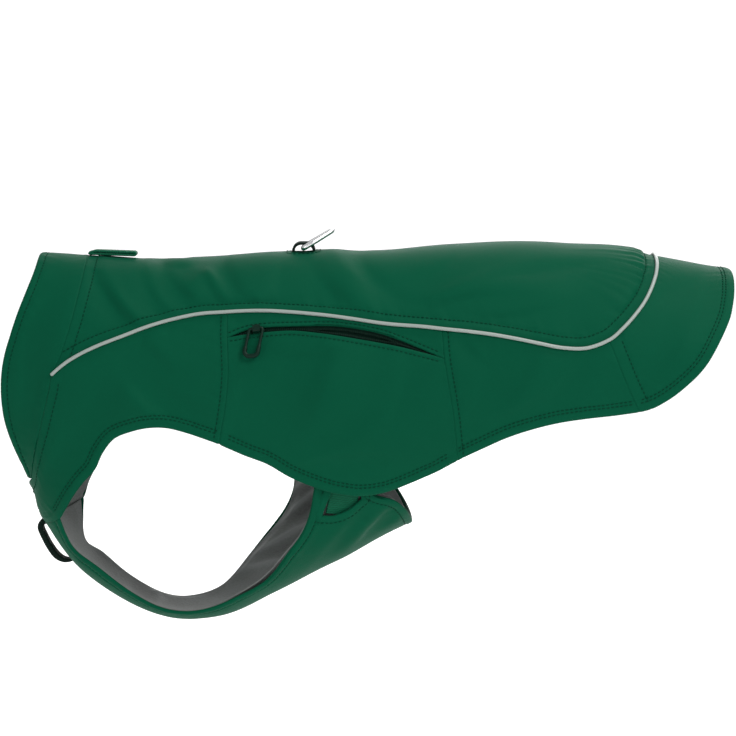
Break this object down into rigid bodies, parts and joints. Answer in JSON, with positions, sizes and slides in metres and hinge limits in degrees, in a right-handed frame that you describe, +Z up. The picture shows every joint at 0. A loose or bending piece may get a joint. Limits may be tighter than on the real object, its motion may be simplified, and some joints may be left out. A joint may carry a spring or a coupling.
{
  "type": "dog coat with harness",
  "caption": "Insulated dog coat shaped as worn, with a collar, a back saddle edged in piping, zip side pockets, a belly band and a built-in harness with a leash ring.",
  "frame": {"origin": "inner face of the coat's back, in the middle of the saddle panel, where the wearer's back carries it", "axes": "+X from the neck to the tail, +Z up, +Y to the dog's right side, so -Y is its left side"},
  "size_m": [0.5043, 0.177, 0.2736],
  "materials": {
    "shell": "smooth waterproof shell cloth with a soft sheen",
    "lining": "brushed fleece",
    "pocket": "plain lining cloth",
    "piping": "reflective piping",
    "webbing": "woven webbing in the shell's colour",
    "dark_webbing": "dark woven webbing",
    "zip": "zip tape",
    "plastic": "satin moulded plastic and cord",
    "ring": "polished aluminium wire"
  },
  "bodies": {
    "coat": {"back_saddle": "shell", "collar": "shell", "shoulder_left": "shell", "shoulder_right": "shell", "pocket_yoke_left": "shell", "pocket_yoke_right": "shell", "pocket_face_left": "shell", "pocket_face_right": "shell", "rear_side_left": "shell", "rear_side_right": "shell", "tail_panel": "shell", "belly_shell": "shell", "belly_lining": "lining", "shoulder_lining_left": "lining", "shoulder_lining_right": "lining", "pocket_bag_left": "pocket", "pocket_bag_right": "pocket", "piping": "piping", "zip_tape_upper_left": "zip", "zip_tape_upper_right": "zip", "zip_tape_lower_left": "zip", "zip_tape_lower_right": "zip", "zip_slider_left": "plastic", "zip_slider_right": "plastic", "ring_keeper": "dark_webbing", "collar_loop": "webbing", "chest_loop": "dark_webbing", "girth_webbing": "webbing", "belly_strap_left": "webbing", "belly_strap_right": "webbing", "buckle_socket_left": "plastic", "buckle_socket_right": "plastic", "buckle_tongue_left": "plastic", "buckle_tongue_right": "plastic"},
    "ring": {"leash_ring": "ring"},
    "left_pull": {"zip_pull_left": "plastic"},
    "right_pull": {"zip_pull_right": "plastic"}
  },
  "joints": [
    {"name": "ring_hinge", "type": "hinge", "parent": "coat", "child": "ring", "pos_m": [-0.0448, 0, 0.00362], "axis": [0, 1, 0], "range_deg": [-115, 26]},
    {"name": "left_pull_hinge", "type": "hinge", "parent": "coat", "child": "left_pull", "pos_m": [-0.07581, -0.07113, -0.04764], "axis": [-0.9913, 0.0545, -0.12], "range_deg": [0, 110]},
    {"name": "right_pull_hinge", "type": "hinge", "parent": "coat", "child": "right_pull", "pos_m": [-0.07581, 0.07113, -0.04764], "axis": [0.9913, 0.0545, 0.12], "range_deg": [0, 110]}
  ]
}
